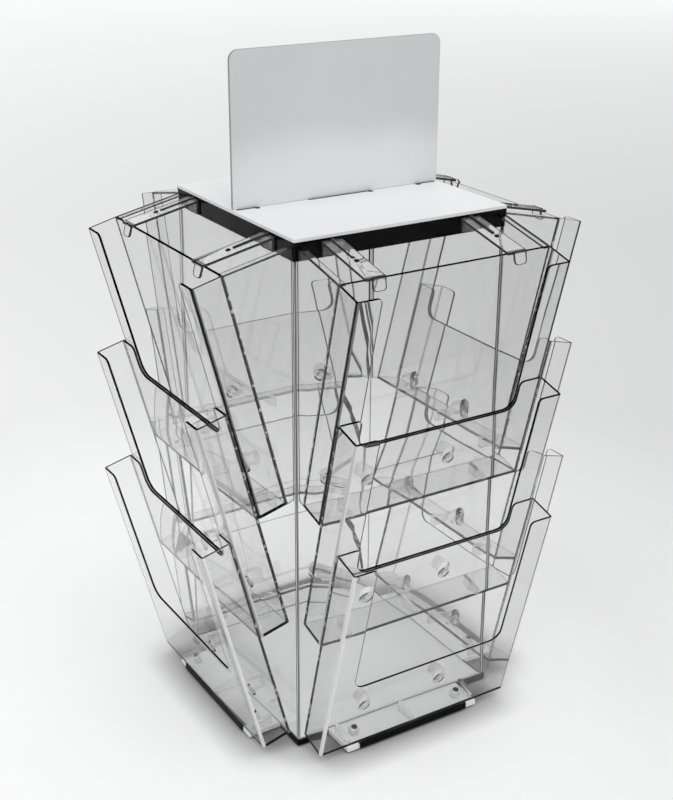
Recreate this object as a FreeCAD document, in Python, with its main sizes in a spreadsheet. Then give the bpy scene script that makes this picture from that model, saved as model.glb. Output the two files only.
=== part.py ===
import FreeCAD, Part
import os
import re

import Sketcher
from FreeCAD import Vector

# A four-sided counter-top periodical rack.  A clear square column stands on a
# plus-shaped base plate that turns on a slip ring.  Each side of the column
# carries three clear moulded pockets, one above the other, all leaning outwards
# by the same angle.  A black cap and a light plate close the column, and a header
# panel stands in slots of that plate.
#
# Millimetres and degrees.  The origin is the centre of the footprint, on the
# surface that the rack stands on.  +Z is up and the front side faces -Y.

# The driving dimensions: a word, its size and what it measures.
DIMENSIONS = [
    ("core_half", 119.0, "half the outside width of the clear column"),
    ("core_wall", 3.0, "thickness of a column panel"),
    ("seat_gap", 0.1, "gap between clear parts that rest on each other"),
    # pockets
    ("lean", 14.5, "angle of every pocket from upright"),
    ("pocket_inset", 1.4, "end of a pocket inside the column's corner"),
    ("pocket_depth", 33.0, "outside depth, square to the back panel"),
    ("pocket_height", 247.6, "height along the back panel"),
    ("pocket_wall", 2.5, "wall of the moulding"),
    ("pocket_corner", 3.0, "outside radius of the upright front edges"),
    ("pocket_standoff", 8.9, "lower back edge of a pocket to the column face"),
    ("floor_rise", 12.9, "base plate top to the lowest pockets' back edge"),
    ("lay_gap", 0.2, "gap where a pocket lies against the one above"),
    ("ear_width", 26.6, "front panel left beside the cut-out, at each end"),
    ("notch_sill", 87.0, "height of the cut-out's lower edge"),
    ("notch_radius", 13.0, "radius of the cut-out's lower corners"),
    ("ear_radius", 5.0, "radius at the inner top corner of an ear"),
    # ribs under the pocket floors
    ("rib_margin", 38.6, "middle of an outer rib from the pocket's end"),
    ("rib_width", 4.0, "thickness of a floor rib"),
    ("rib_inset", 1.5, "back end of a rib, from the back edge"),
    ("rib_reach", 24.0, "length of a floor rib"),
    # bosses that stand off the column, where the pockets are riveted to it
    ("stud_half", 48.0, "distance of a boss from the middle of its side"),
    ("stud_rise", 16.5, "height of a boss up the back panel"),
    ("stud_radius", 7.25, "radius of a boss"),
    # top pockets' end cheeks
    ("cheek_gap", 0.3, "gap from a cheek to the cap"),
    ("cheek_drop", 5.0, "top of a cheek below the top plate"),
    ("flange_width", 8.0, "width of the flange along a cheek's top edge"),
    ("flange_thick", 2.0, "thickness of that flange"),
    # bracket arms
    ("arm_margin", 39.6, "middle of a hook from the pocket's end"),
    ("arm_width", 22.0, "width of a bracket arm"),
    ("arm_offset", -3.0, "middle of the arm from the middle of its hook"),
    ("arm_thick", 2.5, "thickness of arm, foot and hook"),
    ("arm_drop", 5.0, "underside of the arm below the top plate, at the cap"),
    ("arm_foot", 12.0, "length of the foot that lies against the cap"),
    ("hook_width", 14.0, "width of the hook"),
    ("hook_length", 12.5, "length of the hook below the pocket's top edge"),
    ("hook_radius", 4.0, "radius of the hook's lower corners"),
    ("hook_gap", 0.3, "gap between hook and back panel"),
    ("spine_width", 3.0, "width of the rib on top of the arm"),
    ("spine_rise", 1.6, "height of that rib"),
    ("spine_length", 37.0, "length of that rib"),
    ("lug_width", 12.0, "width of the lug in the cap's slot"),
    ("lug_height", 3.0, "height of that lug"),
    ("lug_drop", 11.0, "top of the lug below the top plate"),
    ("lug_fit", 0.2, "clearance round the lug"),
    # cap, top plate and header
    ("plate_above", 20.0, "underside of the top plate above the top pockets' back panels"),
    ("cap_wall", 1.6, "wall of the cap round the column"),
    ("cap_height", 17.8, "height of the cap"),
    ("cap_web", 1.5, "thickness of the cap's top"),
    ("plate_thick", 3.0, "thickness of the top plate"),
    ("plate_corner", 2.0, "corner radius of the top plate and the cap"),
    ("header_inset", 1.1, "end of the header panel inside the plate's edge"),
    ("header_height", 150.6, "height of the header panel above the top plate"),
    ("header_thick", 3.0, "thickness of the header panel"),
    ("header_corner", 10.0, "radius of its upper corners"),
    ("tab_depth", 9.0, "length of the tabs below the panel"),
    ("tab_length", 21.0, "length of an outer tab along the panel"),
    ("tab_middle_half", 35.5, "half the length of the middle tab"),
    ("tab_fit", 0.3, "clearance round a tab in its slot"),
    # base plate and its trims
    ("base_thick", 5.2, "thickness of the base plate"),
    ("web_thick", 2.6, "thickness left above the turntable's recess"),
    ("tongue_margin", 37.0, "side of a tongue from the column's corner"),
    ("tongue_reach", 38.5, "end of a tongue from the column face"),
    ("trim_thick", 3.1, "thickness of a corner trim"),
    ("strip_inset", 14.0, "end of an edge strip from the tongue's side"),
    ("strip_wall", 1.8, "thickness of an edge strip"),
    ("strip_lap", 3.5, "part of the strip that lies on the tongue"),
    ("strip_lap_thick", 1.4, "thickness of that part"),
    ("strip_above", 2.8, "top of the strip above the tongue"),
    ("strip_below", 4.2, "bottom of the strip below the tongue's top"),
    ("boss_inset", 17.0, "floor boss from the tongue's side"),
    ("boss_out", 14.0, "distance of a floor boss from the pocket's back plane"),
    ("boss_size", 8.0, "side of the square boss below a lowest pocket's floor"),
    # turntable
    ("pad_radius", 9.0, "radius of a rubber foot pad"),
    ("pad_thick", 1.6, "thickness of a foot pad"),
    ("pad_margin", 3.0, "edge of a foot pad from the foot plate's edge"),
    ("foot_inset", 55.0, "edge of the foot plate inside the column face"),
    ("foot_corner", 12.0, "corner radius of the foot plate"),
    ("foot_thick", 1.0, "thickness of the foot plate"),
    ("recess_gap", 3.0, "gap round the foot plate's corners in the base plate"),
    ("slip_thick", 2.0, "thickness of the slip ring"),
    ("slip_width", 10.0, "width of the slip ring"),
    ("slip_margin", 2.0, "edge of the slip ring from the foot plate's edge"),
    ("slip_fit", 0.05, "running clearance above the slip ring"),
    ("spigot_radius", 7.0, "radius of the pivot under the base plate"),
    ("spigot_fit", 0.05, "running clearance of the pivot"),
    ("washer_radius", 11.0, "radius of the washer that keeps the foot plate on"),
    ("washer_thick", 0.8, "thickness of that washer"),
    ("pivot_screw_radius", 1.6, "radius of the pivot screw's shank"),
    ("pivot_screw_fit", 0.05, "clearance round the pivot screw"),
    ("pivot_screw_length", 4.6, "length of the pivot screw's shank"),
    ("pivot_head_radius", 4.0, "radius of the pivot screw's head"),
    ("pivot_head_thick", 0.6, "thickness of the pivot screw's head"),
]

# Places and sizes that follow from the driving dimensions.
LAYOUT = [
    # turntable and base
    ("foot_half", "core_half - foot_inset"),
    ("recess_radius", "(foot_half - foot_corner) * sqrt(2) + foot_corner + recess_gap"),
    ("pad_out", "foot_half - pad_margin - pad_radius"),
    ("slip_radius", "foot_half - slip_margin"),
    ("slip_floor", "pad_thick + foot_thick"),
    ("recess_top", "slip_floor + slip_thick + slip_fit"),
    ("base_top", "recess_top + web_thick"),
    ("base_bottom", "base_top - base_thick"),
    ("cap_half", "core_half + cap_wall"),
    ("base_half", "cap_half - trim_thick"),
    ("tongue_half", "core_half - tongue_margin"),
    ("tongue_tip", "core_half + tongue_reach"),
    ("strip_half", "tongue_half - strip_inset"),
    ("boss_half", "tongue_half - boss_inset"),
    # pockets
    ("pocket_half", "core_half - pocket_inset"),
    ("notch_half", "pocket_half - ear_width"),
    ("rib_half", "pocket_half - rib_margin"),
    ("tier_pitch", "(pocket_depth + lay_gap) / sin(lean)"),
    ("lowest_edge", "base_top + floor_rise"),
    ("rear_sill", "tier_pitch * cos(lean) + notch_sill"),
    ("stud_out", "pocket_standoff + stud_rise * sin(lean)"),
    ("stud_up", "stud_rise * cos(lean)"),
    ("top_edge_out", "pocket_standoff + pocket_height * sin(lean)"),
    ("top_edge_up", "lowest_edge + 2 * tier_pitch + pocket_height * cos(lean)"),
    # top of the rack
    ("plate_under", "top_edge_up + plate_above"),
    ("plate_top", "plate_under + plate_thick"),
    ("header_half", "cap_half - header_inset"),
    ("tab_outer", "core_half - core_wall - tab_fit"),
    ("tab_inner", "tab_outer - tab_length"),
    # bracket arms
    ("arm_half_spacing", "pocket_half - arm_margin"),
    ("hook_out", "top_edge_out + (pocket_wall + hook_gap) * cos(lean)"),
    ("arm_end", "hook_out + arm_thick * cos(lean)"),
    ("arm_start", "cap_wall + seat_gap"),
    ("arm_low", "plate_above - lay_gap"),
    ("arm_slope", "(arm_low - arm_drop) / (top_edge_out - arm_start)"),
]

SHEET_OF = {}
for word, _size, _meaning in DIMENSIONS:
    SHEET_OF[word] = "Sizes"
for word, _formula in LAYOUT:
    SHEET_OF[word] = "Layout"

SIDES = ["front", "right", "back", "left"]
TIERS = ["bottom", "middle", "top"]
HANDS = [("left", -1), ("right", 1)]

doc = FreeCAD.newDocument("PeriodicalRack")
nodes = []


def bound(text):
    """Put the sheet's name before each size in an expression."""
    def prefix(match):
        word = match.group()
        return SHEET_OF[word] + "." + word if word in SHEET_OF else word
    return re.sub(r"[a-z_]\w*", prefix, str(text))


def make_sheets():
    """Write the driving dimensions and the places that follow from them."""
    sizes = doc.addObject("Spreadsheet::Sheet", "Sizes")
    for row, (name, size, meaning) in enumerate(DIMENSIONS, start=1):
        sizes.set("A%d" % row, name)
        sizes.set("B%d" % row, str(size))
        sizes.set("C%d" % row, meaning)
        sizes.setAlias("B%d" % row, name)
    doc.recompute()
    layout = doc.addObject("Spreadsheet::Sheet", "Layout")
    for row, (name, formula) in enumerate(LAYOUT, start=1):
        layout.set("A%d" % row, name)
        layout.setAlias("B%d" % row, name)
        own = re.sub(r"Layout\.", "", bound(formula))
        layout.set("B%d" % row, "=" + own)
    doc.recompute()


def place(x="0", y="0", z="0", axis="0; 0; 1", angle="0"):
    """A placement as an expression: a shift and a turn about one axis."""
    return bound(
        "create(<<placement>>; create(<<vector>>; %s; %s; %s);"
        " create(<<rotation>>; create(<<vector>>; %s); %s))" % (x, y, z, axis, angle)
    )


def on_side(side, local=None):
    """The placement of something made for the front, moved to another side."""
    turned = place(angle=str(90 * SIDES.index(side)))
    return turned if local is None else turned + " * " + local


def node(item, name):
    """Register a sub-part under the name of its file."""
    item.Label = name
    nodes.append(item)
    return item


# ---------------------------------------------------------------- sketches

def new_body(name, several_solids=False):
    body = doc.addObject("PartDesign::Body", name)
    body.AllowCompound = several_solids
    return body


def origin_feature(body, role):
    return next(item for item in body.Origin.OriginFeatures if item.Role == role)


def new_sketch(body, plane, offset=None):
    """A sketch on one of the body's own planes, shifted by an expression."""
    sketch = body.newObject("Sketcher::SketchObject", body.Name + "_sketch")
    sketch.AttachmentSupport = [(origin_feature(body, plane), "")]
    sketch.MapMode = "FlatFace"
    if offset is not None:
        sketch.setExpression("AttachmentOffset", offset)
    return sketch


def drive(sketch, constraint, expression):
    """Add a dimension and bind it to the sheet."""
    index = sketch.addConstraint(constraint)
    sketch.setExpression("Constraints[%d]" % index, bound(expression))


def pin_point(sketch, geometry, end, x, y):
    """Hold a point at x, y from the sketch's origin.

    A sketch's own horizontal and vertical lines are its geometry -1 and -2, and the
    origin is the start of the first.
    """
    horizontal, vertical = -1, -2
    for kind, line, text in (("DistanceX", vertical, x), ("DistanceY", horizontal, y)):
        if text == "0":
            sketch.addConstraint(Sketcher.Constraint("PointOnObject", geometry, end, line))
        else:
            size = sketch.evalExpression(bound(text))
            drive(sketch, Sketcher.Constraint(kind, horizontal, 1, geometry, end, size), text)


def outline(sketch, corners):
    """A closed outline.  A corner is (x, y) or (x, y, radius), as expressions."""
    points = [
        Vector(float(sketch.evalExpression(bound(c[0]))), float(sketch.evalExpression(bound(c[1]))))
        for c in corners
    ]
    radii = [float(sketch.evalExpression(bound(c[2]))) if len(c) > 2 else 0.0 for c in corners]
    count = len(corners)
    cuts = []
    for i in range(count):
        back = (points[i - 1] - points[i]).normalize()
        ahead = (points[(i + 1) % count] - points[i]).normalize()
        trim = radii[i] / abs(_half_tangent(back, ahead)) if radii[i] else 0.0
        cuts.append((points[i] + back * trim, points[i] + ahead * trim))
    lines = []
    for i in range(count):
        edge = Part.LineSegment(cuts[i][1], cuts[(i + 1) % count][0])
        lines.append(sketch.addGeometry(edge))
    for i, corner in enumerate(corners):
        before, after = lines[i - 1], lines[i]
        if not radii[i]:
            sketch.addConstraint(Sketcher.Constraint("Coincident", before, 2, after, 1))
            pin_point(sketch, after, 1, corner[0], corner[1])
            continue
        start, end = cuts[i]
        middle = points[i] + _arc_middle(points[i], start, end, radii[i])
        arc = sketch.addGeometry(Part.Arc(start, middle, end))
        first = 1 if sketch.getPoint(arc, 1).distanceToPoint(start) < 1e-6 else 2
        sketch.addConstraint(Sketcher.Constraint("Tangent", before, 2, arc, first))
        sketch.addConstraint(Sketcher.Constraint("Tangent", arc, 3 - first, after, 1))
        drive(sketch, Sketcher.Constraint("Radius", arc, radii[i]), corner[2])
        tip = sketch.addGeometry(Part.Point(points[i]), True)
        sketch.addConstraint(Sketcher.Constraint("PointOnObject", tip, 1, before))
        sketch.addConstraint(Sketcher.Constraint("PointOnObject", tip, 1, after))
        pin_point(sketch, tip, 1, corner[0], corner[1])


def _half_tangent(back, ahead):
    """Tangent of half the angle between two unit vectors."""
    return (back - ahead).Length / (back + ahead).Length


def _arc_middle(tip, start, end, radius):
    """From a corner's tip to the middle of the arc that rounds it."""
    chord_middle = (start + end) / 2 - tip
    reach = (((start - tip).Length ** 2 + radius ** 2) ** 0.5) - radius
    return chord_middle.normalize() * reach


def box_outline(sketch, left, right, low, high, radius=None):
    """A rectangle between four lines, with one corner radius or none."""
    tail = () if radius is None else (radius,)
    outline(sketch, [(left, low) + tail, (right, low) + tail, (right, high) + tail, (left, high) + tail])


def circle(sketch, x, y, radius):
    """A circle whose centre and radius follow the sheet."""
    centre = Vector(float(sketch.evalExpression(bound(x))), float(sketch.evalExpression(bound(y))))
    size = float(sketch.evalExpression(bound(radius)))
    index = sketch.addGeometry(Part.Circle(centre, Vector(0, 0, 1), size))
    drive(sketch, Sketcher.Constraint("Radius", index, size), radius)
    pin_point(sketch, index, 3, x, y)


# ---------------------------------------------------------------- features

def pad(body, sketch, length, symmetric=False, reverse=False):
    feature = body.newObject("PartDesign::Pad", body.Name + "_pad")
    feature.Profile = sketch
    feature.SideType = "Symmetric" if symmetric else "One side"
    feature.Reversed = reverse
    feature.setExpression("Length", bound(length))
    return feature


def cut(body, sketch, length=None, symmetric=False, reverse=False):
    """Cut a sketch's outline away, to a depth or through everything."""
    feature = body.newObject("PartDesign::Pocket", body.Name + "_cut")
    feature.Profile = sketch
    feature.SideType = "Symmetric" if symmetric else "One side"
    feature.Reversed = reverse
    if length is None:
        feature.Type = "ThroughAll"
    else:
        feature.setExpression("Length", bound(length))
    return feature


def mirror(body, features):
    pattern = body.newObject("PartDesign::Mirrored", body.Name + "_mirror")
    pattern.Originals = features
    pattern.MirrorPlane = (origin_feature(body, "YZ_Plane"), [""])
    body.Tip = pattern
    return pattern


def row(body, features, role, length, occurrences):
    """Repeat features along one of the body's axes, over a whole length."""
    pattern = body.newObject("PartDesign::LinearPattern", body.Name + "_row")
    pattern.Originals = features
    pattern.Direction = (origin_feature(body, role), [""])
    pattern.setExpression("Length", bound(length))
    pattern.Occurrences = occurrences
    body.Tip = pattern
    return pattern


def ring(body, features, occurrences):
    """Repeat features round the upright axis."""
    pattern = body.newObject("PartDesign::PolarPattern", body.Name + "_ring")
    pattern.Originals = features
    pattern.Axis = (origin_feature(body, "Z_Axis"), [""])
    pattern.Angle = 360.0
    pattern.Occurrences = occurrences
    body.Tip = pattern
    return pattern


def cylinder(name, radius, height, z):
    """An upright cylinder on the rack's axis."""
    item = doc.addObject("Part::Cylinder", name)
    item.setExpression("Radius", bound(radius))
    item.setExpression("Height", bound(height))
    item.setExpression("Placement", place(z=z))
    return item


def subtract(name, base, tool):
    item = doc.addObject("Part::Cut", name)
    item.Base = base
    item.Tool = tool
    return item


# ---------------------------------------------------------------- turntable

def make_foot_plate():
    """A square plate with a bore for the pivot."""
    body = new_body("foot_plate")
    plan = new_sketch(body, "XY_Plane", place(z="pad_thick"))
    box_outline(plan, "-foot_half", "foot_half", "-foot_half", "foot_half", "foot_corner")
    circle(plan, "0", "0", "spigot_radius + spigot_fit")
    pad(body, plan, "foot_thick")
    return node(body, "foot_plate")


def make_foot_pads():
    """A rubber pad under each corner of the foot plate."""
    body = new_body("foot_pads", several_solids=True)
    sketch = new_sketch(body, "XY_Plane")
    circle(sketch, "pad_out", "pad_out", "pad_radius")
    ring(body, [pad(body, sketch, "pad_thick")], 4)
    return node(body, "foot_pads")


def make_slip_ring():
    """The flat ring of slippery plastic that the base plate turns on."""
    disc = cylinder("slip_disc", "slip_radius", "slip_thick", "slip_floor")
    bore = cylinder("slip_bore", "slip_radius - slip_width", "3 * slip_thick", "slip_floor - slip_thick")
    return node(subtract("slip_ring", disc, bore), "slip_ring")


def make_pivot():
    """The washer and screw that keep the foot plate on the pivot."""
    washer = cylinder("washer_disc", "washer_radius", "washer_thick", "pad_thick - spigot_fit - washer_thick")
    hole = cylinder(
        "washer_hole",
        "pivot_screw_radius + pivot_screw_fit",
        "3 * washer_thick",
        "pad_thick - spigot_fit - 2 * washer_thick",
    )
    node(subtract("pivot_washer", washer, hole), "pivot_washer")
    under = "pad_thick - spigot_fit - washer_thick"
    head = cylinder("pivot_head", "pivot_head_radius", "pivot_head_thick", under + " - pivot_head_thick")
    shank = cylinder("pivot_shank", "pivot_screw_radius", "pivot_screw_length", under)
    screw = doc.addObject("Part::Fuse", "pivot_screw")
    screw.Base = head
    screw.Tool = shank
    node(screw, "pivot_screw")


# ---------------------------------------------------------------- base

def make_base_plate():
    """A plus-shaped plate: the column's square and a tongue under each side's pockets."""
    body = new_body("base_plate")
    square = new_sketch(body, "XY_Plane", place(z="base_bottom"))
    box_outline(square, "-base_half", "base_half", "-base_half", "base_half")
    pad(body, square, "base_thick")
    tongue = new_sketch(body, "XY_Plane", place(z="base_bottom"))
    box_outline(tongue, "-tongue_half", "tongue_half", "-tongue_tip", "-base_half")
    ring(body, [pad(body, tongue, "base_thick")], 4)
    recess = new_sketch(body, "XY_Plane", place(z="base_bottom"))
    circle(recess, "0", "0", "recess_radius")
    cut(body, recess, "recess_top - base_bottom", reverse=True)
    spigot = new_sketch(body, "XY_Plane", place(z="pad_thick - spigot_fit"))
    circle(spigot, "0", "0", "spigot_radius")
    pad(body, spigot, "recess_top - pad_thick + spigot_fit + web_thick / 2")
    pilot = new_sketch(body, "XY_Plane", place(z="pad_thick - spigot_fit"))
    circle(pilot, "0", "0", "pivot_screw_radius + pivot_screw_fit")
    cut(body, pilot, "pivot_screw_length", reverse=True)
    return node(body, "base_plate")


def make_corner_trim(index, name):
    """A black L round one corner of the base plate, from tongue to tongue."""
    body = new_body("corner_trim_" + name)
    plan = new_sketch(body, "XY_Plane", place(z="base_bottom"))
    outline(plan, [
        ("-cap_half", "-cap_half", "plate_corner"),
        ("-tongue_half", "-cap_half"),
        ("-tongue_half", "-base_half"),
        ("-base_half", "-base_half"),
        ("-base_half", "-tongue_half"),
        ("-cap_half", "-tongue_half"),
    ])
    pad(body, plan, "base_thick")
    body.setExpression("Placement", place(angle=str(90 * index)))
    return node(body, "corner_trim_" + name)


def make_edge_strip(side):
    """A black L-section clipped on the end of a tongue."""
    body = new_body("edge_strip_" + side)
    section = new_sketch(body, "YZ_Plane")
    outline(section, [
        ("-tongue_tip", "base_top - strip_below"),
        ("-tongue_tip", "base_top"),
        ("-(tongue_tip - strip_lap)", "base_top"),
        ("-(tongue_tip - strip_lap)", "base_top + strip_lap_thick"),
        ("-tongue_tip", "base_top + strip_above"),
        ("-(tongue_tip + strip_wall)", "base_top + strip_above"),
        ("-(tongue_tip + strip_wall)", "base_top - strip_below"),
    ])
    pad(body, section, "2 * strip_half", symmetric=True)
    body.setExpression("Placement", on_side(side))
    return node(body, "edge_strip_" + side)


# ---------------------------------------------------------------- column

def make_core_panel(side):
    """A clear column panel.

    The front and back panels run the full width and the other two fit between them.
    """
    body = new_body("core_panel_" + side)
    half = "core_half" if side in ("front", "back") else "(core_half - core_wall)"
    sheet = new_sketch(body, "XZ_Plane", place(z="core_half - core_wall"))
    box_outline(sheet, "-" + half, half, "base_top + seat_gap", "plate_under - cap_web")
    pad(body, sheet, "core_wall")
    body.setExpression("Placement", on_side(side))
    return node(body, "core_panel_" + side)


def tab_spans():
    """Left and right ends of the header's three tabs."""
    return [
        ("-tab_outer", "-tab_inner"),
        ("-tab_middle_half", "tab_middle_half"),
        ("tab_inner", "tab_outer"),
    ]


def cut_tab_slots(body, level):
    """Slots for the header's tabs, cut down from a level."""
    slots = new_sketch(body, "XY_Plane", place(z=level))
    for left, right in tab_spans():
        box_outline(slots, "%s - tab_fit" % left, "%s + tab_fit" % right,
                    "-(header_thick / 2 + tab_fit)", "header_thick / 2 + tab_fit")
    return cut(body, slots)


def make_cap():
    """The black cap: a skirt round the column's top and a web across it."""
    body = new_body("top_cap")
    plan = new_sketch(body, "XY_Plane", place(z="plate_under - cap_height"))
    box_outline(plan, "-cap_half", "cap_half", "-cap_half", "cap_half", "plate_corner")
    pad(body, plan, "cap_height")
    inside = new_sketch(body, "XY_Plane", place(z="plate_under - cap_height"))
    box_outline(inside, "-(core_half + seat_gap)", "core_half + seat_gap",
                "-(core_half + seat_gap)", "core_half + seat_gap")
    cut(body, inside, "cap_height - cap_web", reverse=True)
    cut_tab_slots(body, "plate_under")
    for plane in ("XZ_Plane", "YZ_Plane"):
        lugs = new_sketch(body, plane)
        for sign in ("-", ""):
            middle = "%sarm_half_spacing" % sign
            box_outline(lugs, middle + " - lug_width / 2 - lug_fit", middle + " + lug_width / 2 + lug_fit",
                        "plate_under - lug_drop - lug_height - lug_fit", "plate_under - lug_drop + lug_fit")
        cut(body, lugs, symmetric=True)
    return node(body, "top_cap")


def make_top_plate():
    body = new_body("top_plate")
    plan = new_sketch(body, "XY_Plane", place(z="plate_under"))
    box_outline(plan, "-cap_half", "cap_half", "-cap_half", "cap_half", "plate_corner")
    pad(body, plan, "plate_thick")
    cut_tab_slots(body, "plate_top")
    return node(body, "top_plate")


def make_header():
    """A sign panel with rounded upper corners and three tabs along its lower edge."""
    body = new_body("header_panel")
    face = new_sketch(body, "XZ_Plane")
    corners = [("-header_half", "plate_top")]
    for left, right in tab_spans():
        corners += [(left, "plate_top"), (left, "plate_top - tab_depth")]
        corners += [(right, "plate_top - tab_depth"), (right, "plate_top")]
    corners += [
        ("header_half", "plate_top"),
        ("header_half", "plate_top + header_height", "header_corner"),
        ("-header_half", "plate_top + header_height", "header_corner"),
    ]
    outline(face, corners)
    pad(body, face, "header_thick", symmetric=True)
    return node(body, "header_panel")


# ---------------------------------------------------------------- pockets
# In a pocket's own frame x runs across, z runs up the back panel and -y points
# outwards, square to it.  The origin is the middle of the lower back edge.

def upright(z="0"):
    """Turns a sketch on the YZ plane so that its axes are level and plumb."""
    return place(z=z, angle="-lean")


def notch_outline(sketch, sill):
    """The U-shaped cut-out, with rounded ears on both sides of its mouth."""
    outline(sketch, [
        ("-(notch_half + 2 * ear_radius)", "pocket_height + ear_radius"),
        ("-(notch_half + 2 * ear_radius)", "pocket_height"),
        ("-notch_half", "pocket_height", "ear_radius"),
        ("-notch_half", sill, "notch_radius"),
        ("notch_half", sill, "notch_radius"),
        ("notch_half", "pocket_height", "ear_radius"),
        ("notch_half + 2 * ear_radius", "pocket_height"),
        ("notch_half + 2 * ear_radius", "pocket_height + ear_radius"),
    ])


def mould_shell(body):
    """The open-topped box with rounded front edges."""
    plan = new_sketch(body, "XY_Plane")
    outline(plan, [
        ("-pocket_half", "0"),
        ("-pocket_half", "-pocket_depth", "pocket_corner"),
        ("pocket_half", "-pocket_depth", "pocket_corner"),
        ("pocket_half", "0"),
    ])
    pad(body, plan, "pocket_height")
    well = new_sketch(body, "XY_Plane", place(z="pocket_wall"))
    box_outline(well, "pocket_wall - pocket_half", "pocket_half - pocket_wall",
                "pocket_wall - pocket_depth", "-pocket_wall")
    cut(body, well, reverse=True)


def cut_notches(body, tier):
    """The cut-out in the front, and in the back where another pocket's notch is behind."""
    front = new_sketch(body, "XZ_Plane", place(z="pocket_depth / 2"))
    notch_outline(front, "notch_sill")
    cut(body, front, reverse=True)
    if tier != "top":
        rear = new_sketch(body, "XZ_Plane", place(z="pocket_depth / 2"))
        notch_outline(rear, "rear_sill")
        cut(body, rear)


def add_ribs(body):
    """Three ribs under the floor, level along their lower edges."""
    side = new_sketch(body, "YZ_Plane", upright("-(rib_half + rib_width / 2)"))
    near = "-rib_inset"
    far = "-(rib_inset + rib_reach)"
    rest = "seat_gap - floor_rise"
    outline(side, [
        (near, "pocket_wall / 2 - rib_inset * tan(lean)"),
        (near, rest),
        (far, rest),
        (far, "pocket_wall / 2 - (rib_inset + rib_reach) * tan(lean)"),
    ])
    row(body, [pad(body, side, "rib_width")], "X_Axis", "2 * rib_half", 3)


def add_standoffs(body):
    """Two level bosses from the column's face up to the back panel."""
    foot = place(y="stud_rise + (stud_out - seat_gap) * sin(lean)",
                 z="-(stud_out - seat_gap) * cos(lean)", axis="1; 0; 0", angle="-lean")
    ends = new_sketch(body, "XZ_Plane", foot)
    for sign in ("-", ""):
        circle(ends, sign + "stud_half", "0", "stud_radius")
    bosses = pad(body, ends, "stud_out")
    bosses.Type = "UpToFirst"


def add_floor_bosses(body):
    """Two bosses under the floor that stand on the tongue."""
    bosses = new_sketch(body, "XY_Plane", place(z="pocket_wall / 2"))
    for sign in ("-", ""):
        middle = sign + "boss_half"
        box_outline(bosses, middle + " - boss_size / 2", middle + " + boss_size / 2",
                    "-(boss_out + boss_size / 2)", "-(boss_out - boss_size / 2)")
    pad(body, bosses, "floor_rise + pocket_wall", reverse=True)
    below = new_sketch(body, "YZ_Plane", upright())
    box_outline(below, "-2 * pocket_depth", "pocket_depth", "-2 * floor_rise", "seat_gap - floor_rise")
    cut(body, below, symmetric=True)


def add_cheeks(body):
    """End cheeks that carry the side walls back to the column, each with a top flange."""
    back = "pocket_standoff - cap_wall - cheek_gap"
    top = "plate_under - cheek_drop - lowest_edge - 2 * tier_pitch"
    edge_out = "-pocket_height * sin(lean)"
    edge_up = "pocket_height * cos(lean)"
    cheek = new_sketch(body, "YZ_Plane", upright("pocket_half - pocket_wall"))
    outline(cheek, [("0", "0"), (back, "(%s) * tan(lean)" % back), (back, top), (edge_out, edge_up)])
    wall = pad(body, cheek, "pocket_wall")
    flange = new_sketch(body, "YZ_Plane", upright("pocket_half - flange_width"))
    outline(flange, [
        (back, "%s - flange_thick" % top),
        (back, top),
        (edge_out, edge_up),
        (edge_out, "%s - flange_thick" % edge_up),
    ])
    lip = pad(body, flange, "flange_width")
    mirror(body, [wall, lip])


def make_pocket(side, tier):
    name = "pocket_%s_%s" % (side, tier)
    body = new_body(name)
    mould_shell(body)
    cut_notches(body, tier)
    add_ribs(body)
    if tier == "bottom":
        add_floor_bosses(body)
    if tier == "top":
        add_cheeks(body)
    add_standoffs(body)
    level = "lowest_edge + %d * tier_pitch" % TIERS.index(tier)
    seat = place(y="-(core_half + pocket_standoff)", z=level, axis="1; 0; 0", angle="lean")
    body.setExpression("Placement", on_side(side, seat))
    return node(body, name)


# ---------------------------------------------------------------- bracket arms
# In an arm's own frame x runs across, -y points outwards and z is plumb.  The
# origin is on the column face under the top plate, in the middle of the hook.

def arm_level(out, rise="0"):
    """Height of the arm's underside at a distance from the column face."""
    return "-(arm_drop + arm_slope * (%s - arm_start)) + %s" % (out, rise)


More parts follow.
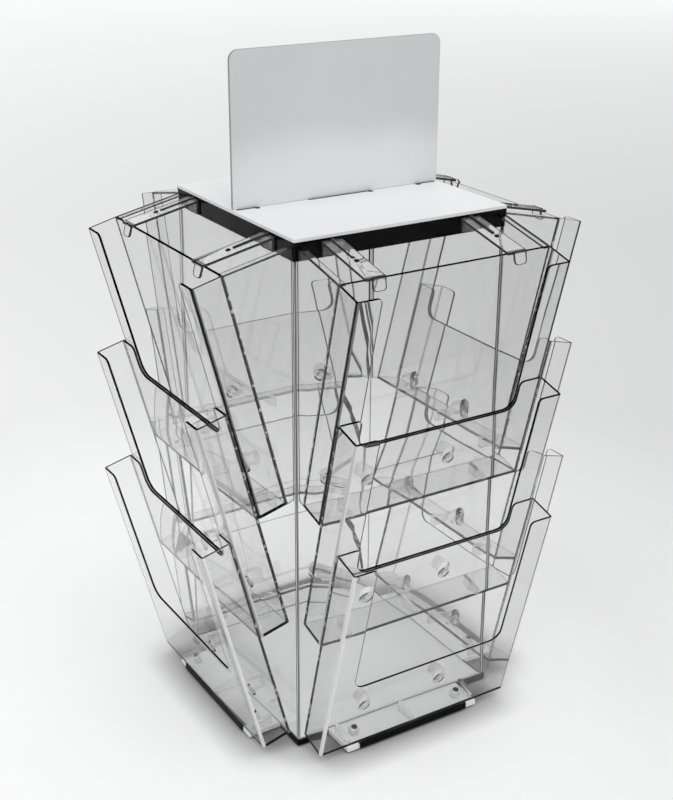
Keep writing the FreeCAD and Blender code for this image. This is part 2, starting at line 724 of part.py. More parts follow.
def make_bracket_arm(side, hand, sign):
    """A sloping arm from the cap to the top edge of a top pocket's back panel."""
    name = "bracket_arm_%s_%s" % (side, hand)
    body = new_body(name)
    profile = new_sketch(body, "YZ_Plane", place(z="arm_offset - arm_width / 2"))
    outline(profile, [
        ("-arm_start", arm_level("arm_start", "arm_thick")),
        ("-arm_start", arm_level("arm_start", "-arm_foot")),
        ("-(arm_start + arm_thick)", arm_level("arm_start", "-arm_foot")),
        ("-(arm_start + arm_thick)", arm_level("arm_start + arm_thick")),
        ("-arm_end", arm_level("arm_end")),
        ("-arm_end", arm_level("arm_end", "arm_thick")),
    ])
    pad(body, profile, "arm_width")
    hook = new_sketch(body, "XZ_Plane", place(
        y=arm_level("hook_out", "arm_thick / 2"), z="hook_out", axis="1; 0; 0", angle="-lean"))
    box_top = "arm_thick / 4"
    outline(hook, [
        ("-hook_width / 2", box_top),
        ("-hook_width / 2", "-hook_length", "hook_radius"),
        ("hook_width / 2", "-hook_length", "hook_radius"),
        ("hook_width / 2", box_top),
    ])
    pad(body, hook, "arm_thick")
    spine = new_sketch(body, "YZ_Plane", place(z="arm_offset"))
    far = "arm_start + spine_length"
    outline(spine, [
        ("-arm_start", arm_level("arm_start", "arm_thick / 2")),
        ("-arm_start", arm_level("arm_start", "arm_thick + spine_rise")),
        ("-(%s)" % far, arm_level(far, "arm_thick + spine_rise")),
        ("-(%s)" % far, arm_level(far, "arm_thick / 2")),
    ])
    pad(body, spine, "spine_width", symmetric=True)
    lug = new_sketch(body, "YZ_Plane")
    box_outline(lug, "-(arm_start + arm_thick / 2)", "-seat_gap - lug_fit",
                "-(lug_drop + lug_height)", "-lug_drop")
    pad(body, lug, "lug_width", symmetric=True)
    seat = place(x="%d * arm_half_spacing" % sign, y="-core_half", z="plate_under")
    body.setExpression("Placement", on_side(side, seat))
    return node(body, name)


# ---------------------------------------------------------------- the rack

def build():
    make_sheets()
    make_foot_plate()
    make_foot_pads()
    make_slip_ring()
    make_pivot()
    make_base_plate()
    for index, name in enumerate(("front_left", "front_right", "back_right", "back_left")):
        make_corner_trim(index, name)
    for side in SIDES:
        make_edge_strip(side)
        make_core_panel(side)
        for tier in TIERS:
            make_pocket(side, tier)
        for hand, sign in HANDS:
            make_bracket_arm(side, hand, sign)
    make_cap()
    make_top_plate()
    make_header()
    doc.recompute()


def check_document():
    """Stop if any object failed or any sub-part has no sound shape."""
    for item in doc.Objects:
        if "Invalid" in item.State or "Error" in item.State:
            raise RuntimeError("%s (%s) failed: %s" % (item.Name, item.Label, item.State))
    for item in nodes:
        if item.Shape.isNull() or not item.Shape.isValid() or not item.Shape.Solids:
            raise RuntimeError("%s has no valid shape" % item.Label)


def export():
    os.makedirs("parts", exist_ok=True)
    for item in nodes:
        item.Shape.exportStep(os.path.join("parts", item.Label + ".step"))


build()
check_document()
export()
print("%d sub-parts written" % len(nodes))
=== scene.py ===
import math
import bmesh
import bpy
from mathutils import Matrix, Vector


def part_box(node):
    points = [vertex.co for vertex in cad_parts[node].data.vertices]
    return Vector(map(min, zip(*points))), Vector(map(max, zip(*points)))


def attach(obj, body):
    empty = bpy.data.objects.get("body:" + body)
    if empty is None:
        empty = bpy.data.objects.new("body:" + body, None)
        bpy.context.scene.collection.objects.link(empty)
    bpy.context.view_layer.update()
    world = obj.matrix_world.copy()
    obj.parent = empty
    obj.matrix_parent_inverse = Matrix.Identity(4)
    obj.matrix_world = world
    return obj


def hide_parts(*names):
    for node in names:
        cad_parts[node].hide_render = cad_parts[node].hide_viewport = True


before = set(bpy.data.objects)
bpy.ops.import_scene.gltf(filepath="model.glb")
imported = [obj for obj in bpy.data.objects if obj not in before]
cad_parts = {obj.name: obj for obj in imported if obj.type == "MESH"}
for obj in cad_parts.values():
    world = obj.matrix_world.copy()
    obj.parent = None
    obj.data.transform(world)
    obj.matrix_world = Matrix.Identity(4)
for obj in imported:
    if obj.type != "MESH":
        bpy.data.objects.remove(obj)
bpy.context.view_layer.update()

scene = bpy.context.scene

SIDES = ["front", "right", "back", "left"]
TIERS = ["bottom", "middle", "top"]
HANDS = [("left", -1), ("right", 1)]
CORNERS = ["front_left", "front_right", "back_right", "back_left"]

# Sizes that the extra pieces need, in metres, as the rack has them.
CORE_HALF = 0.119  # half the column's outside width
POCKET_HALF = 0.1176  # half a pocket's outside width
LEAN = math.radians(14.5)  # angle of every pocket from upright
WALL = 0.0025  # wall of a pocket
TIER_PITCH = 0.1326  # height from one pocket to the next
LOWEST_EDGE = 0.02015  # height of the lowest pockets' lower back edge
STANDOFF = 0.0089  # distance of that edge from the column
STUD_RISE = 0.0165  # height of a boss up the back panel
STUD_HALF = 0.048  # distance of a boss from the middle of its side
SCREW_HALF = 0.065  # distance of a floor screw from the middle
SCREW_OUT = 0.014  # distance of a floor screw from the back panel
PLATE_UNDER = 0.54506  # underside of the top plate
ARM_HALF = 0.078  # middle of an arm's hook from the middle of its side
ARM_OFFSET = -0.003  # middle of the arm from the middle of its hook
ARM_START = 0.0017  # distance of an arm's inner end from the column
ARM_DROP = 0.005  # underside of the arm there, below the top plate
ARM_SLOPE = 0.2142  # how much the arm falls on its way out
ARM_THICK = 0.0025
PIN_OUT = 0.044  # distance of an arm's pin from the column
NEAR = 0.0003  # slack where a place on a pocket is compared


# ---------------------------------------------------------------- node helpers

def feed(tree, socket, value):
    """Give a socket a value, or link another node's output to it."""
    if isinstance(value, bpy.types.NodeSocket):
        tree.links.new(value, socket)
    else:
        socket.default_value = value


def make(tree, kind, **settings):
    """Add a shader node. Keys with a leading s_ feed sockets, others set properties."""
    made = tree.nodes.new(kind)
    for key, value in settings.items():
        if key.startswith("s_"):
            feed(tree, made.inputs[key[2:].replace("_", " ")], value)
        else:
            setattr(made, key, value)
    return made


def material(name):
    """An empty material, its node tree, and the socket that its shader feeds."""
    made = bpy.data.materials.new(name)
    made.use_nodes = True
    tree = made.node_tree
    tree.nodes.clear()
    return made, tree, make(tree, "ShaderNodeOutputMaterial").inputs["Surface"]


def maths(tree, operation, *values):
    """The output of one math node; each value is a number or another node's output."""
    made = make(tree, "ShaderNodeMath", operation=operation)
    for socket, value in zip(made.inputs, values):
        feed(tree, socket, value)
    return made.outputs["Value"]


def product(tree, *factors):
    """All factors multiplied."""
    result = factors[0]
    for factor in factors[1:]:
        result = maths(tree, "MULTIPLY", result, factor)
    return result


def kept(tree, share, left):
    """A factor that goes from 1 to what is left, as the share goes from 0 to 1."""
    return maths(tree, "MULTIPLY_ADD", share, left - 1, 1.0)


def rescale(tree, value, from_min, from_max, to_min, to_max, smooth=False):
    """A value taken from one range to another and held at the range's ends."""
    made = make(
        tree, "ShaderNodeMapRange", s_Value=value, s_From_Min=from_min, s_From_Max=from_max,
        s_To_Min=to_min, s_To_Max=to_max,
        interpolation_type="SMOOTHSTEP" if smooth else "LINEAR")
    return made.outputs["Result"]


def attribute(tree, name):
    return make(tree, "ShaderNodeAttribute", attribute_name=name).outputs["Fac"]


def object_coords(tree):
    return make(tree, "ShaderNodeTexCoord").outputs["Object"]


def noise(tree, coords, scale, detail):
    made = make(tree, "ShaderNodeTexNoise", s_Vector=coords, s_Scale=scale, s_Detail=detail)
    return made.outputs["Fac"]


def bump(tree, height, strength, distance):
    made = make(
        tree, "ShaderNodeBump", s_Height=height, s_Strength=strength, s_Distance=distance)
    return made.outputs["Normal"]


def blend(tree, share, first, second):
    """The first shader turned into the second by a share."""
    made = make(tree, "ShaderNodeMixShader", s_Fac=share)
    tree.links.new(first, made.inputs[1])
    tree.links.new(second, made.inputs[2])
    return made.outputs["Shader"]


def grey(level):
    return (level, level, level, 1)


# ---------------------------------------------------------------- materials

PLASTIC_IOR = 1.49
UPPER_SHADE_HEIGHTS = (0.20, 0.42)  # heights over which the upper tier's painted shade sets in
MIRROR = 0.6  # what is left of the plastic's mirror image
SOFTNESS = 0.8  # how far small parts under a floor fade, as they bend light less


def clear_plastic(
        name, tint, rim_tint_and_painted_shade, shade, rim_white=0.0, bend_painted_highlight=0.0, bend_painted_shade=1.0,
        slant=0.0, corner_grey=0.0, waves=0.03, polish=0.45, white=0.0, high_painted_shade=1.0,
        side_painted_shade=1.0, floor_painted_shade=1.0):
    """Clear plastic: real refraction, a faint grey tint, and darker cut edges.

    tint and rim_tint_and_painted_shade are the greys of broad faces and of cut edges;
    a dark rim grey is painted shade for the dark lines that refraction shows at the
    plastic's edges. shade is what the plastic lets through to the lamps. white,
    rim_white and bend_painted_highlight are how much light is scattered by the whole
    surface, by the cut edges, and by the rounded corners of the lower pockets; on those
    corners it is a painted highlight. The rest are factors of painted shade on the tint:
    bend_painted_shade for the upper pockets' rounded corners, high_painted_shade for the
    upper tier, which stands in less light, side_painted_shade for a pocket's side walls,
    which light runs along, and floor_painted_shade for its floor. slant is what a wall
    seen at a flat angle loses of the tint. corner_grey is how much grey a pocket's back
    corners scatter, where two sheets meet. polish is how much of the surface bends light
    without a mirror image, and waves the height of what moulding leaves in it.
    """
    made, tree, surface = material(name)
    coords = object_coords(tree)
    is_rim = attribute(tree, "rim")
    is_bend = attribute(tree, "bend")
    low_bend = maths(tree, "MULTIPLY", is_bend, attribute(tree, "corner_highlight"))
    high_bend = maths(tree, "SUBTRACT", is_bend, low_bend)
    on_side = maths(
        tree, "GREATER_THAN", maths(tree, "ABSOLUTE", attribute(tree, "across")),
        POCKET_HALF - WALL - NEAR)
    on_floor = maths(tree, "COMPARE", attribute(tree, "rise"), WALL / 2, WALL / 2 + NEAR)

    # a wall seen at a flat angle is looked through for longer
    facing = make(tree, "ShaderNodeLayerWeight", s_Blend=0.5).outputs["Facing"]
    height = make(tree, "ShaderNodeSeparateXYZ", s_Vector=coords).outputs["Z"]
    # the tint, with painted shade on the upper tier, side walls, floors, cut edges and the
    # upper pockets' rounded corners
    tone = product(
        tree,
        kept(tree, maths(tree, "POWER", facing, 2.0), 1 - slant),
        rescale(tree, height, *UPPER_SHADE_HEIGHTS, 1.0, high_painted_shade),
        kept(tree, on_side, side_painted_shade),
        kept(tree, on_floor, floor_painted_shade),
        kept(tree, high_bend, bend_painted_shade),
        maths(tree, "MULTIPLY_ADD", is_rim, rim_tint_and_painted_shade - tint, tint))

    # slow waves that moulding leaves, and fine wear in the polish
    wavy = bump(tree, noise(tree, coords, 14.0, 2.0), waves, 0.002)
    worn = rescale(tree, noise(tree, coords, 60.0, 4.0), 0.55, 0.8, 0.0, 0.04)
    glass = make(
        tree, "ShaderNodeBsdfPrincipled", s_Base_Color=tone, s_Transmission_Weight=1.0,
        s_IOR=PLASTIC_IOR, s_Specular_Tint=grey(MIRROR), s_Roughness=worn, s_Normal=wavy)
    # refraction alone, without the mirror image, as Principled colours it
    through = make(
        tree, "ShaderNodeBsdfRefraction", s_Color=maths(tree, "POWER", tone, 0.5),
        s_IOR=PLASTIC_IOR, s_Roughness=worn, s_Normal=wavy)
    seen = blend(
        tree, maths(tree, "MAXIMUM", is_rim, polish), glass.outputs["BSDF"],
        through.outputs["BSDF"])
    # small parts under the floor bend the light less sharply than the sheets' edges
    faint = make(tree, "ShaderNodeBsdfTransparent", s_Color=grey(0.97))
    softened = maths(tree, "MULTIPLY", attribute(tree, "soft"), SOFTNESS)
    seen = blend(tree, softened, seen, faint.outputs["BSDF"])
    # cut edges scatter some light; on the lower pockets' rounded corners the scattered white
    # is a painted highlight
    white_scatter = make(tree, "ShaderNodeBsdfDiffuse", s_Color=grey(0.95))
    scatter_and_highlight = maths(
        tree, "MULTIPLY_ADD", low_bend, bend_painted_highlight,
        maths(tree, "MULTIPLY_ADD", is_rim, rim_white, white))
    seen = blend(tree, scatter_and_highlight, seen, white_scatter.outputs["BSDF"])
    if corner_grey:
        at_back = maths(
            tree, "COMPARE", attribute(tree, "forward"), WALL / 2, WALL / 2 + NEAR)
        flecks = rescale(tree, noise(tree, coords, 160.0, 1.0), 0.58, 0.64, 0.13, 0.75)
        joint = make(tree, "ShaderNodeBsdfDiffuse", s_Color=flecks)
        seam = product(tree, on_side, at_back, corner_grey)
        seen = blend(tree, seam, seen, joint.outputs["BSDF"])
    # lamps reach what stands behind the plastic
    clear = make(tree, "ShaderNodeBsdfTransparent", s_Color=grey(shade))
    for_lamps = make(tree, "ShaderNodeLightPath").outputs["Is Shadow Ray"]
    tree.links.new(blend(tree, for_lamps, seen, clear.outputs["BSDF"]), surface)
    return made


def solid_plastic(
        name, colour, rough, coat=0.0, grain=0.15, scale=900.0, shine=0.5, edge=1.0,
        foot=None):
    """Opaque plastic with a fine moulded grain and a slight change of tone.

    edge is how much of the colour is left on faces marked as cut edges. foot gives the
    heights between which the sheet brightens on its way down, and how much: a painted
    reflection of the pale plate below.
    """
    made, tree, surface = material(name)
    coords = object_coords(tree)
    broad = noise(tree, coords, 6.0, 3.0)
    tones = make(tree, "ShaderNodeMix", data_type="RGBA", s_Factor=broad)
    tones.inputs[6].default_value = tuple(c * 0.97 for c in colour) + (1,)
    tones.inputs[7].default_value = tuple(min(c * 1.03, 1) for c in colour) + (1,)
    edged = make(tree, "ShaderNodeMix", data_type="RGBA", s_Factor=attribute(tree, "rim"))
    tree.links.new(tones.outputs[2], edged.inputs[6])
    edged.inputs[7].default_value = tuple(c * edge for c in colour) + (1,)
    colour_out = edged.outputs[2]
    # painted reflection of the plate: the sheet brighter towards its foot
    if foot:
        begin, end, gain = foot
        height = make(tree, "ShaderNodeSeparateXYZ", s_Vector=coords).outputs["Z"]
        uneven = maths(tree, "MULTIPLY_ADD", broad, -0.06, height)
        brighter = make(
            tree, "ShaderNodeVectorMath", operation="SCALE",
            s_Scale=rescale(tree, uneven, begin, end, 1.0, gain, smooth=True))
        tree.links.new(colour_out, brighter.inputs[0])
        colour_out = brighter.outputs["Vector"]
    body = make(
        tree, "ShaderNodeBsdfPrincipled", s_Base_Color=colour_out, s_IOR=PLASTIC_IOR,
        s_Specular_IOR_Level=shine, s_Coat_Weight=coat, s_Coat_Roughness=0.08,
        s_Roughness=rescale(tree, broad, 0.0, 1.0, rough * 0.85, rough * 1.15),
        s_Normal=bump(tree, noise(tree, coords, scale, 2.0), grain, 0.0002))
    tree.links.new(body.outputs["BSDF"], surface)
    return made


def metal(name, colour, rough):
    """Zinc-plated steel with fine brushed lines."""
    made, tree, surface = material(name)
    stretched = make(
        tree, "ShaderNodeMapping", s_Vector=object_coords(tree), s_Scale=(40, 900, 900))
    lines = noise(tree, stretched.outputs["Vector"], 1.0, 2.0)
    body = make(
        tree, "ShaderNodeBsdfPrincipled", s_Base_Color=colour + (1,), s_Metallic=1.0,
        s_Roughness=rescale(tree, lines, 0.0, 1.0, rough * 0.8, rough * 1.3),
        s_Normal=bump(tree, lines, 0.1, 0.0001))
    tree.links.new(body.outputs["BSDF"], surface)
    return made


# The dark rim greys below are painted shade for the dark lines that refraction shows at cut
# edges.
PANEL = clear_plastic(
    "clear_panel", 0.985, 0.98, 0.97, rim_white=0.95, slant=0.06, waves=0.01,
    high_painted_shade=0.93)
# eased panel edges: dark grey, painted shade
PANEL_EASED = clear_plastic("clear_panel_edge", 0.1, 0.1, 0.6)
MOULDED = clear_plastic(
    "clear_moulding", 0.985, 0.03, 0.95, bend_painted_highlight=0.65, bend_painted_shade=0.12, slant=0.1,
    corner_grey=0.5, high_painted_shade=0.96, side_painted_shade=0.955, floor_painted_shade=0.85)
# eased pocket edges: dark grey painted shade on the upper tiers; on the bottom tier lighter,
# with a painted highlight of scattered white
EASED = clear_plastic("clear_eased_edge", 0.3, 0.3, 0.6)
LOW_EASED = clear_plastic("clear_low_edge", 0.8, 0.8, 0.8, white=0.4)
ARM = clear_plastic("clear_arm", 0.97, 0.02, 0.93, slant=0.1, white=0.06)
# eased arm edges: near black, painted shade
ARM_EASED = clear_plastic("clear_arm_edge", 0.02, 0.02, 0.5)
# rivet heads: the marked quarters of the ring are near black, painted shade
HEAD = clear_plastic("clear_rivet_head", 0.97, 0.001, 0.95, polish=0.2, white=0.08)
GREY = solid_plastic("light_grey", (0.81, 0.82, 0.83), 0.42)
PALE = solid_plastic("pale_grey", (0.92, 0.925, 0.93), 0.35)
# the header's foot carries a painted reflection of the pale plate below
HEADER = solid_plastic(
    "header_grey", (0.64, 0.65, 0.66), 0.18, coat=0.5, grain=0.04, edge=0.3,
    foot=(0.600, 0.545, 1.22))
HEADER_EASED = solid_plastic("header_edge", (0.30, 0.30, 0.31), 0.3, grain=0.05)
BLACK = solid_plastic("black_gloss", (0.003, 0.003, 0.0035), 0.1, grain=0.03, shine=0.08)
STEEL = metal("zinc_steel", (0.60, 0.61, 0.62), 0.32)
NYLON = solid_plastic("white_nylon", (0.78, 0.78, 0.75), 0.5)
RUBBER = solid_plastic("black_rubber", (0.03, 0.03, 0.03), 0.75, grain=0.4, scale=500.0)


# ---------------------------------------------------------------- dressed nodes

SHEET_EDGE = 0.0035  # narrower faces of a sheet are its edges or its rounded corners
ARM_EDGE = 0.003
PANEL_EASE = 0.0007  # how wide the eased edges are
POCKET_EASE = 0.0003
ARM_EASE = 0.0005
SHARP_ANGLE = math.radians(40)
SMOOTH_ANGLE = math.radians(30)
LONG_STRIP = 0.06  # a rounded corner is longer than this
SHARP_SHARE = 0.3  # a cut edge has more sharp edges beside it than this
CORNER_HIGHLIGHT = {"bottom": 1.0, "middle": 0.75}  # how much painted highlight a tier's rounded corners get


def dress(node, made):
    """Give a carried node its material."""
    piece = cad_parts[node]
    piece.data.materials.clear()
    piece.data.materials.append(made)


def add_piece(name, mesh, body, made):
    """Put a new piece in the scene, riding a body."""
    mesh.materials.clear()
    mesh.materials.append(made)
    piece = bpy.data.objects.new(name, mesh)
    scene.collection.objects.link(piece)
    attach(piece, body)
    return piece


def side_turn(side):
    """Rotation that carries the front side to the named side."""
    return Matrix.Rotation(math.radians(90 * SIDES.index(side)), 4, "Z")


def strip_width(face):
    """The width of a face taken as a straight strip of its area and perimeter."""
    half = face.calc_perimeter() / 2
    return (half - math.sqrt(max(half * half - 4 * face.calc_area(), 0))) / 2


def sharp_share(face):
    """The length of a face's sharp edges as a share of its other edges' length."""
    sharp = smooth = 1e-9  # so that neither is nought
    for edge in face.edges:
        if edge.calc_face_angle(0.0) > SHARP_ANGLE:
            sharp += edge.calc_length()
        else:
            smooth += edge.calc_length()
    return sharp / smooth


def in_pocket(point, side, tier):
    """A point's place in a pocket: across it, depth from its back, rise on its back."""
    x, y, z = side_turn(side).inverted() @ Vector(point)
    out = -y - CORE_HALF - STANDOFF
    up = z - LOWEST_EDGE - TIERS.index(tier) * TIER_PITCH
    return (x, out * math.cos(LEAN) - up * math.sin(LEAN),
            out * math.sin(LEAN) + up * math.cos(LEAN))


def under_floor(point, side, tier):
    """Whether a point lies on the ribs under a pocket's floor or on its bosses."""
    _across, depth, rise = in_pocket(point, side, tier)
    outside = -0.0002
    return rise < outside or (depth < outside and rise < 0.06)


def mark_place(mesh, side, tier):
    """Keep, on a pocket's corners, their place in the pocket."""
    places = [in_pocket(vertex.co, side, tier) for vertex in mesh.vertices]
    for axis, name in enumerate(["across", "forward", "rise"]):
        mark = mesh.attributes.new(name, "FLOAT", "POINT")
        for index, place in enumerate(places):
            mark.data[index].value = place[axis]


def mark_faces(shape, width, side, tier):
    """Mark a sheet part's faces as cut edge, rounded corner or part under a floor."""
    rim, bend, soft, corner_highlight = [
        shape.faces.layers.float.new(name) for name in ("rim", "bend", "soft", "corner_highlight")]
    for face in shape.faces:
        narrow = strip_width(face) < width
        long_strip = max(edge.calc_length() for edge in face.edges) > LONG_STRIP
        sharp = sharp_share(face)
        below = bool(tier) and under_floor(face.calc_center_median(), side, tier)
        if narrow and (sharp > SHARP_SHARE or not (below or long_strip)):
            face[rim] = 0.25 if below else 1.0
        face[soft] = 1.0 if below else 0.0
        # the tier's share of painted highlight on rounded corners
        face[corner_highlight] = CORNER_HIGHLIGHT.get(tier, 0.0)
        face[bend] = 1.0 if narrow and long_strip and sharp < SHARP_SHARE else 0.0
        face.smooth = True


def eased_copy(node, body, made, eased, width, soften, side=None, tier=None):
    """A sheet part's own shape with its edges eased, and its cut edges marked as rim."""
    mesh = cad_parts[node].data.copy()
    mesh.name = node + "_eased"
    shape = bmesh.new()
    shape.from_mesh(mesh)
    bmesh.ops.remove_doubles(shape, verts=shape.verts, dist=1e-6)
    bmesh.ops.dissolve_limit(
        shape, angle_limit=math.radians(0.5), verts=shape.verts, edges=shape.edges)
    mark_faces(shape, width, side, tier)
    for edge in shape.edges:
        edge.smooth = edge.is_manifold and edge.calc_face_angle() < SMOOTH_ANGLE
    shape.to_mesh(mesh)
    shape.free()
    if "custom_normal" in mesh.attributes:
        mesh.attributes.remove(mesh.attributes["custom_normal"])
    if tier:
        mark_place(mesh, side, tier)
    piece = add_piece(node + "_eased", mesh, body, made)
    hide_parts(node)
    piece.data.materials.append(eased)
    ease = piece.modifiers.new("eased edges", "BEVEL")
    ease.width = soften
    ease.use_clamp_overlap = False
    ease.material = 1
    ease.segments = 2
    ease.limit_method = "ANGLE"
    ease.angle_limit = SHARP_ANGLE
    ease.harden_normals = True


for side in SIDES:
    eased_copy(
        "core_panel_" + side, "rack", PANEL, PANEL_EASED,
        SHEET_EDGE, PANEL_EASE)
    for tier in TIERS:
        eased_copy(
            "pocket_%s_%s" % (side, tier), "rack", MOULDED,
            LOW_EASED if tier == "bottom" else EASED,
            SHEET_EDGE, POCKET_EASE, side, tier)
    for hand, _sign in HANDS:
        eased_copy(
            "bracket_arm_%s_%s" % (side, hand), "rack", ARM, ARM_EASED,
            ARM_EDGE, ARM_EASE)
    dress("edge_strip_" + side, BLACK)
eased_copy(
    "header_panel", "header", HEADER, HEADER_EASED,
    SHEET_EDGE, POCKET_EASE)
for corner in CORNERS:
    dress("corner_trim_" + corner, BLACK)
for node, made in [
        ("top_cap", BLACK), ("top_plate", GREY), ("base_plate", PALE),
        ("foot_plate", STEEL), ("pivot_washer", STEEL), ("pivot_screw", STEEL),
        ("slip_ring", NYLON), ("foot_pads", RUBBER)]:
    dress(node, made)


# ---------------------------------------------------------------- small pieces

def circle(radius, steps):
    """The (x, y) corners of a circle about the origin."""
    turns = [2 * math.pi * step / steps for step in range(steps)]
    return [(radius * math.cos(turn), radius * math.sin(turn)) for turn in turns]


def turned(profile, steps=32):
    """A solid of revolution about Z from (radius, height) points."""
    shape = bmesh.new()
    rings = []
    for radius, height in profile:
        corners = circle(radius, steps) if radius else [(0, 0)]
        rings.append([shape.verts.new((x, y, height)) for x, y in corners])
    for low, high in zip(rings, rings[1:]):
        for step in range(steps):
            after = (step + 1) % steps
            if len(low) == 1:
                corners = [low[0], high[after], high[step]]
            elif len(high) == 1:
                corners = [low[step], low[after], high[0]]
            else:
                corners = [low[step], low[after], high[after], high[step]]
            shape.faces.new(corners)
    bmesh.ops.recalc_face_normals(shape, faces=shape.faces)
    for face in shape.faces:
        face.smooth = True
    for edge in shape.edges:
        edge.smooth = edge.is_manifold and edge.calc_face_angle() < math.radians(35)
    mesh = bpy.data.meshes.new("turned")
    shape.to_mesh(mesh)
    shape.free()
    return mesh


def on_front(across, out, up):
    """A point by its place along the front side, out from the column, and height."""
    return Vector((across, -CORE_HALF - out, up))


def on_pocket(across, depth, rise, level):
    """A point of a front pocket by its place in the pocket, as in_pocket gives it."""
    return on_front(
        across, STANDOFF + rise * math.sin(LEAN) + depth * math.cos(LEAN),
        LOWEST_EDGE + level * TIER_PITCH + rise * math.cos(LEAN) - depth * math.sin(LEAN))


def small_piece(name, profile, side, place, axis, made, shaded_arcs=None):
    """A turned piece on a side, its axis along the given direction there.

    shaded_arcs is the span of radii that is marked as a cut edge, on two opposite quarters of
    the ring, where painted shade lies.
    """
    mesh = turned(profile)
    if shaded_arcs:
        rim = mesh.attributes.new("rim", "FLOAT", "FACE")
        for face in mesh.polygons:
            x, y, _height = face.center
            away = math.hypot(x, y)
            dark = shaded_arcs[0] < away < shaded_arcs[1] and abs(x - y) > away
            rim.data[face.index].value = 1.0 if dark else 0.0
    turn = Vector((0, 0, 1)).rotation_difference(Vector(axis)).to_matrix().to_4x4()
    mesh.transform(side_turn(side) @ Matrix.Translation(place) @ turn)
    mesh.name = name
    add_piece(name, mesh, "rack", made)


# A rivet holds each boss of a pocket: a clear domed head with a ring round it, two opposite
# quarters of which carry painted shade.
RIVET = [(0, 0), (0.0072, 0), (0.0072, 0.0004), (0.0066, 0.0009), (0.0052, 0.0009),
         (0.0048, 0.0005), (0.0040, 0.0005), (0.0037, 0.0012), (0.0022, 0.0019), (0, 0.0021)]
RIVET_SHADE_ARCS = (0.0050, 0.0071)
SCREW = [(0, 0), (0.0032, 0), (0.0032, 0.0005), (0.0024, 0.0012), (0.0013, 0.0014),
         (0.0012, 0.0009), (0, 0.0009)]
PIN = [(0, 0), (0.0025, 0), (0.0025, 0.0006), (0.0018, 0.0012), (0, 0.0014)]

# Directions on the front side, square to what the small pieces stand on.
OFF_BACK = (0, -math.cos(LEAN), -math.sin(LEAN))
OFF_FLOOR = (0, -math.sin(LEAN), math.cos(LEAN))
OFF_ARM = (0, -ARM_SLOPE, 1)

for side in SIDES:
    for level, tier in enumerate(TIERS):
        for hand, sign in HANDS:
            small_piece(
                "rivet_%s_%s_%s" % (side, tier, hand), RIVET, side,
                on_pocket(sign * STUD_HALF, WALL, STUD_RISE, level), OFF_BACK, HEAD,
                shaded_arcs=RIVET_SHADE_ARCS)
    for hand, sign in HANDS:
        small_piece(
            "floor_screw_%s_%s" % (side, hand), SCREW, side,
            on_pocket(sign * SCREW_HALF, SCREW_OUT, WALL, 0), OFF_FLOOR, BLACK)

# A dark pin stands in the middle of each bracket arm, on its sloping upper face.
ARM_TOP = PLATE_UNDER - ARM_DROP - ARM_SLOPE * (PIN_OUT - ARM_START) + ARM_THICK
for side in SIDES:
    for hand, sign in HANDS:
        small_piece(
            "arm_pin_%s_%s" % (side, hand), PIN, side,
            on_front(sign * ARM_HALF + ARM_OFFSET, PIN_OUT, ARM_TOP), OFF_ARM, BLACK)


def raise_outline(shape, outline, level, rise):
    """Add a prism on an outline of (x, y) corners, from a level up."""
    low = [shape.verts.new((x, y, level)) for x, y in outline]
    high = [shape.verts.new((x, y, level + rise)) for x, y in outline]
    shape.faces.new(list(reversed(low)))
    shape.faces.new(high)
    for index in range(len(outline)):
        after = (index + 1) % len(outline)
        shape.faces.new([low[index], low[after], high[after], high[index]])


def painted_slot_shadow(name, left, right, dot):
    """Painted shadow of the gap of a slot along the header's foot, with the round end it was
    cut from: black sheets laid on the plate.
    """
    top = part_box("top_plate")[1].z
    near, far = -0.0045, -0.00152  # the gap's edges, in front of the header
    dot_radius, dot_place = 0.0030, -0.0048
    rise = 0.00012
    shape = bmesh.new()
    raise_outline(
        shape, [(left, near), (right, near), (right, far), (left, far)], top, rise)
    raise_outline(
        shape, [(dot + x, dot_place + y) for x, y in circle(dot_radius, 20)], top, rise * 1.2)
    bmesh.ops.recalc_face_normals(shape, faces=shape.faces)
    mesh = bpy.data.meshes.new(name)
    shape.to_mesh(mesh)
    shape.free()
    add_piece(name, mesh, "rack", BLACK)


painted_slot_shadow("slot_mark_left", -0.1160, -0.0944, -0.0944)
painted_slot_shadow("slot_mark_middle", -0.0358, 0.0358, 0.0358)
painted_slot_shadow("slot_mark_right", 0.0944, 0.1160, 0.0944)


# ---------------------------------------------------------------- floor and light

RAMP_REACH = 25.0  # distance at the end of the floor's ramp of painted shade
FLOOR_SHADE_GREYS = [
    (0.018, 0.99), (0.034, 0.86), (0.08, 0.84), (0.18, 0.94), (0.28, 0.965), (0.6, 0.882)]


def ramp(tree, value, stops):
    """A grey that follows a value through (place, grey) stops."""
    made = make(tree, "ShaderNodeValToRGB", s_Fac=value)
    while len(made.color_ramp.elements) < len(stops):
        made.color_ramp.elements.new(0.5)
    for element, (place, level) in zip(made.color_ramp.elements, stops):
        element.position = place
        element.color = grey(level)
    return made.outputs["Color"]


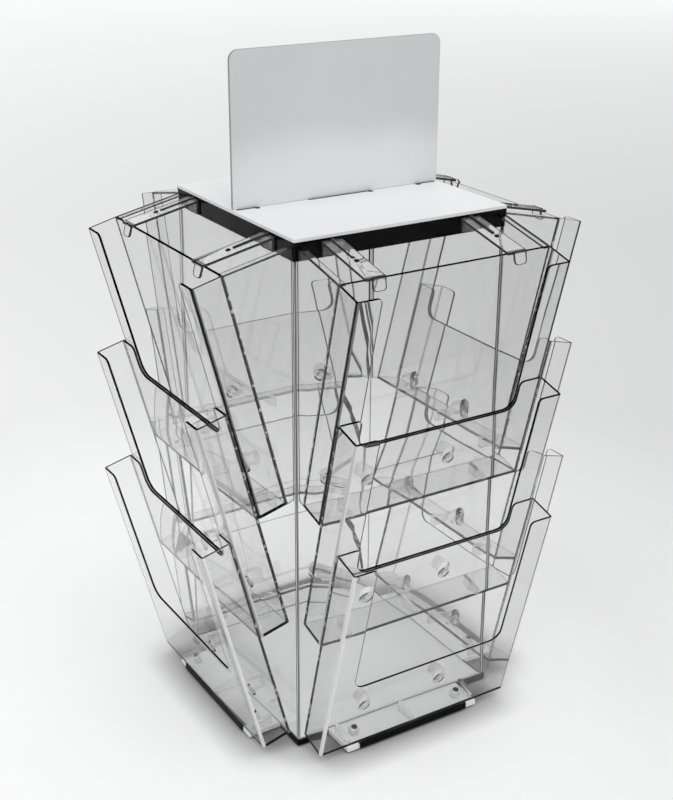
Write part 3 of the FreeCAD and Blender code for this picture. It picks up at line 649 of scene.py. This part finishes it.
def floor_material():
    """Pale studio paper with painted shade, a little darker some way behind the rack."""
    made, tree, surface = material("studio_paper")
    coords = object_coords(tree)
    away = make(tree, "ShaderNodeVectorMath", operation="LENGTH", s_Vector=coords)
    away = away.outputs["Value"]
    # painted shade: greys by distance stand in for the falloff of the studio's light
    falloff_grey = ramp(tree, maths(tree, "MULTIPLY", away, 1 / RAMP_REACH), FLOOR_SHADE_GREYS)
    # painted shade, darker towards one side, from just beyond the rack to well behind it
    place = make(tree, "ShaderNodeSeparateXYZ", s_Vector=coords).outputs
    sideways = maths(
        tree, "DIVIDE", maths(tree, "MULTIPLY_ADD", place["Y"], -0.1, place["X"]),
        maths(tree, "ADD", away, 0.3))
    side_shade = product(
        tree,
        rescale(tree, sideways, -0.1, 0.9, 0.0, 0.2),
        rescale(tree, away, 0.2, 0.38, 0.0, 1.0, smooth=True),
        rescale(tree, away, 8.0, 4.0, 0.0, 1.0, smooth=True))
    # light hardly reaches the paper right beside what stands on it
    beside = make(tree, "ShaderNodeAmbientOcclusion", samples=8, s_Distance=0.04)
    reached = rescale(tree, beside.outputs["AO"], 0.0, 1.0, 0.05, 1.0)
    paper = make(
        tree, "ShaderNodeBsdfDiffuse",
        s_Color=product(tree, maths(tree, "SUBTRACT", falloff_grey, side_shade), reached),
        s_Normal=bump(tree, noise(tree, coords, 300.0, 2.0), 0.03, 0.0005))
    tree.links.new(paper.outputs["BSDF"], surface)
    return made


def make_floor():
    shape = bmesh.new()
    bmesh.ops.create_circle(shape, cap_ends=True, segments=96, radius=40.0)
    mesh = bpy.data.meshes.new("studio_floor")
    shape.to_mesh(mesh)
    shape.free()
    mesh.materials.append(floor_material())
    floor = bpy.data.objects.new("studio_floor", mesh)
    scene.collection.objects.link(floor)


def make_world():
    """A soft sky for the light, and a pale background where it is seen."""
    world = bpy.data.worlds.new("studio")
    world.use_nodes = True
    tree = world.node_tree
    sky = tree.nodes["Background"]
    sky.inputs["Color"].default_value = (0.9, 0.905, 0.91, 1)
    sky.inputs["Strength"].default_value = 0.6
    seen = make(tree, "ShaderNodeBackground", s_Color=grey(0.9), s_Strength=1.0)
    path = make(tree, "ShaderNodeLightPath").outputs
    for_eyes = maths(
        tree, "MAXIMUM",
        maths(tree, "MAXIMUM", path["Is Camera Ray"], path["Is Transmission Ray"]),
        path["Is Glossy Ray"])
    both = blend(tree, for_eyes, sky.outputs["Background"], seen.outputs["Background"])
    tree.links.new(both, tree.nodes["World Output"].inputs["Surface"])
    scene.world = world


def make_sun():
    lamp = bpy.data.lights.new("overhead", "SUN")
    lamp.energy = 1.6
    lamp.angle = math.radians(70)
    made = bpy.data.objects.new("overhead", lamp)
    scene.collection.objects.link(made)
    shines_from = Vector((-0.25, -0.35, 1.0))
    made.rotation_euler = shines_from.to_track_quat("Z", "Y").to_euler()


def make_camera():
    """The photo's camera, as worked out from the rack's straight edges."""
    heading, down, roll = math.radians(31.70), math.radians(22.63), math.radians(0.225)
    place = Vector((-0.7015, -1.1347, 0.8807))
    ahead = Vector((math.sin(heading) * math.cos(down), math.cos(heading) * math.cos(down),
                    -math.sin(down)))
    level = Vector((math.cos(heading), -math.sin(heading), 0))
    right = level * math.cos(roll) + level.cross(ahead) * math.sin(roll)
    turn = Matrix((right, right.cross(ahead), -ahead)).transposed().to_4x4()
    lens = bpy.data.cameras.new("photo_camera")
    lens.lens = 60.94
    lens.sensor_width = 36.0
    lens.clip_end = 200.0
    made = bpy.data.objects.new("photo_camera", lens)
    scene.collection.objects.link(made)
    made.matrix_world = Matrix.Translation(place) @ turn
    scene.camera = made


make_floor()
make_world()
make_sun()
make_camera()
scene.view_settings.view_transform = "Standard"
scene.cycles.transparent_max_bounces = 96
scene.cycles.max_bounces = 64
scene.cycles.transmission_bounces = 64
scene.cycles.glossy_bounces = 16

bpy.context.view_layer.update()
